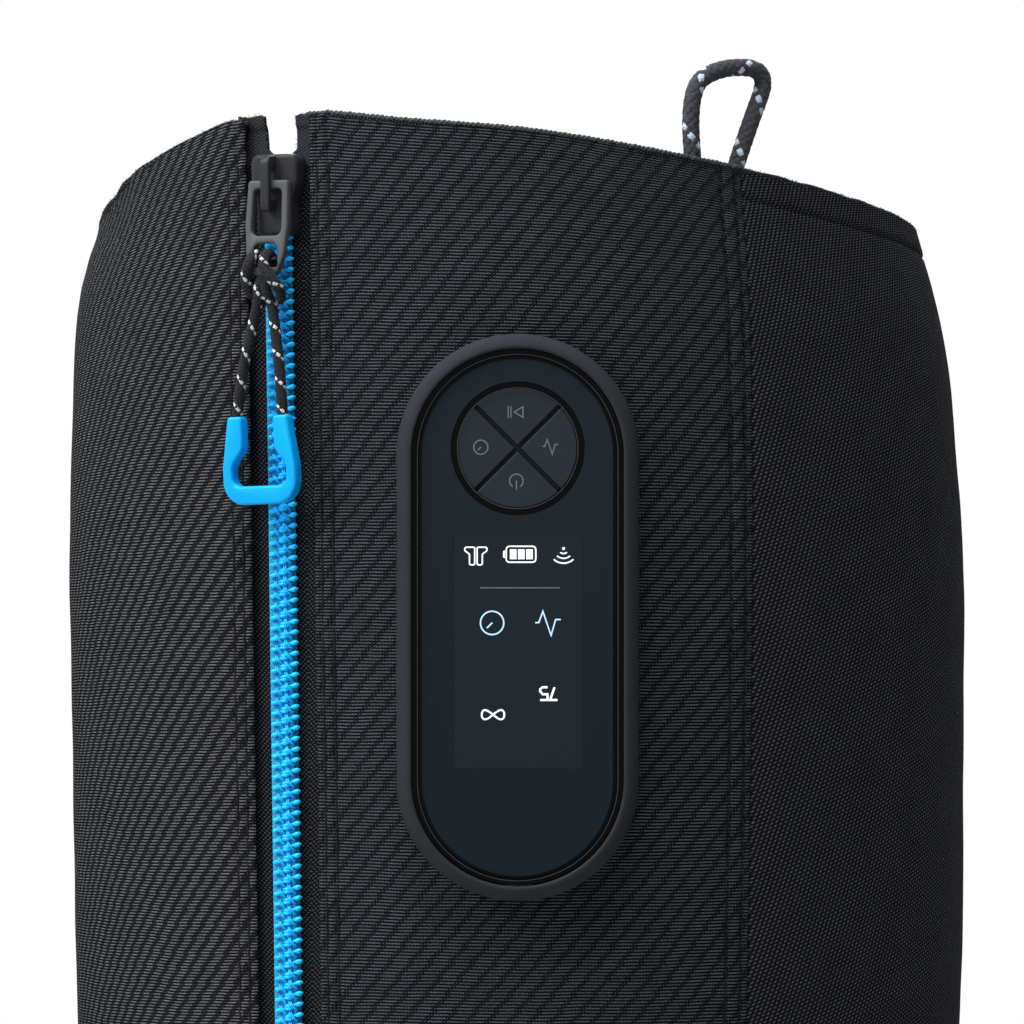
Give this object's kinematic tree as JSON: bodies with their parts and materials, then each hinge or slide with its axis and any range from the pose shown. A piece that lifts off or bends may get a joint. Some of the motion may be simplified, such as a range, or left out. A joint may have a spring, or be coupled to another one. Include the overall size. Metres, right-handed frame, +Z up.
{
  "type": "air compression leg boot",
  "caption": "Full-leg air compression boot with a pump unit set into the thigh, push buttons, a display and a front zip.",
  "frame": {"origin": "the middle of the boot's footprint, on the floor under the sole", "axes": "+Z up the leg, toe towards -Y, the pump unit on the +X side of the front zip"},
  "size_m": [0.2626, 0.3801, 0.8174],
  "materials": {
    "mesh_fabric": "coarse woven mesh, grey over black",
    "canvas_fabric": "plain dark weave",
    "binding_fabric": "overlocked edge",
    "padding_foam": "foam strip",
    "lining_fabric": "smooth coated nylon",
    "bladder": "coated film",
    "sole_rubber": "moulded",
    "rope": "round braid",
    "pull_rope": "round braid with white flecks",
    "zip_tape": "herringbone tape",
    "blue_coil": "satin",
    "blue_grip": "satin moulded",
    "zip_metal": "satin dark grey paint",
    "bezel_plastic": "satin",
    "frame_gloss": "gloss black",
    "plate_plastic": "fine matt",
    "window_gloss": "smoked, see-through to the display light",
    "button_plastic": "fine matt",
    "membrane_rubber": "silicone",
    "tube_rubber": "silicone tube",
    "case_plastic": "moulded",
    "board": "green solder mask",
    "steel": "plain",
    "battery_wrap": "shrink wrap"
  },
  "bodies": {
    "boot": {"air_chamber_calf": "bladder", "air_chamber_forefoot": "bladder", "air_chamber_heel": "bladder", "air_chamber_knee": "bladder", "air_chamber_thigh": "bladder", "air_tube_calf": "tube_rubber", "air_tube_heel": "tube_rubber", "air_tube_knee": "tube_rubber", "air_tube_thigh": "tube_rubber", "back_panel": "canvas_fabric", "battery_pack": "battery_wrap", "bezel": "bezel_plastic", "button_membrane": "membrane_rubber", "case_screws": "steel", "charge_port": "steel", "display_module": "case_plastic", "display_window": "window_gloss", "dome_switches": "steel", "face_plate": "plate_plastic", "foot_cover": "mesh_fabric", "foot_lining": "lining_fabric", "front_panel": "mesh_fabric", "hang_loop": "rope", "leg_lining": "lining_fabric", "main_board": "board", "mid_frame": "frame_gloss", "outsole": "sole_rubber", "pressure_sensor": "case_plastic", "pump_head": "case_plastic", "pump_motor": "steel", "pump_mounts": "membrane_rubber", "rear_case": "case_plastic", "retaining_ring": "case_plastic", "rim_binding": "binding_fabric", "rim_padding": "padding_foam", "side_panel": "mesh_fabric", "solenoid_valves": "case_plastic", "valve_manifold": "case_plastic", "zip_bottom_stop": "zip_metal", "zip_coil_left": "blue_coil", "zip_coil_right": "blue_coil", "zip_tape_left": "zip_tape", "zip_tape_right": "zip_tape"},
    "play_button": {"button_play": "button_plastic"},
    "pulse_button": {"button_pulse": "button_plastic"},
    "power_button": {"button_power": "button_plastic"},
    "dial_button": {"button_dial": "button_plastic"},
    "slider": {"zip_slider": "zip_metal"},
    "pull_tab": {"zip_pull_tab": "zip_metal"},
    "pull_cord": {"pull_cord_hitch": "pull_rope", "pull_cord_left": "pull_rope", "pull_cord_right": "pull_rope", "pull_grip": "blue_grip"}
  },
  "joints": [
    {"name": "press_play", "type": "slide", "parent": "boot", "child": "play_button", "axis": [-0.4924, 0.8704, 0], "range_m": [0, 0.0005], "stiffness_N_per_m": 1500, "springref_m": -0.0003},
    {"name": "press_pulse", "type": "slide", "parent": "boot", "child": "pulse_button", "axis": [-0.4924, 0.8704, 0], "range_m": [0, 0.0005], "stiffness_N_per_m": 1500, "springref_m": -0.0003},
    {"name": "press_power", "type": "slide", "parent": "boot", "child": "power_button", "axis": [-0.4924, 0.8704, 0], "range_m": [0, 0.0005], "stiffness_N_per_m": 1500, "springref_m": -0.0003},
    {"name": "press_dial", "type": "slide", "parent": "boot", "child": "dial_button", "axis": [-0.4924, 0.8704, 0], "range_m": [0, 0.0005], "stiffness_N_per_m": 1500, "springref_m": -0.0003},
    {"name": "zip_run", "type": "slide", "parent": "boot", "child": "slider", "axis": [0, 0.0242, -0.9997], "range_m": [0, 0.54]},
    {"name": "tab_flip", "type": "hinge", "parent": "slider", "child": "pull_tab", "pos_m": [0, -0.07931, 0.77952], "axis": [-1, 0, 0], "range_deg": [0, 150]},
    {"name": "cord_swing", "type": "hinge", "parent": "pull_tab", "child": "pull_cord", "pos_m": [0, -0.08123, 0.7556], "axis": [-1, 0, 0], "range_deg": [0, 35]}
  ]
}
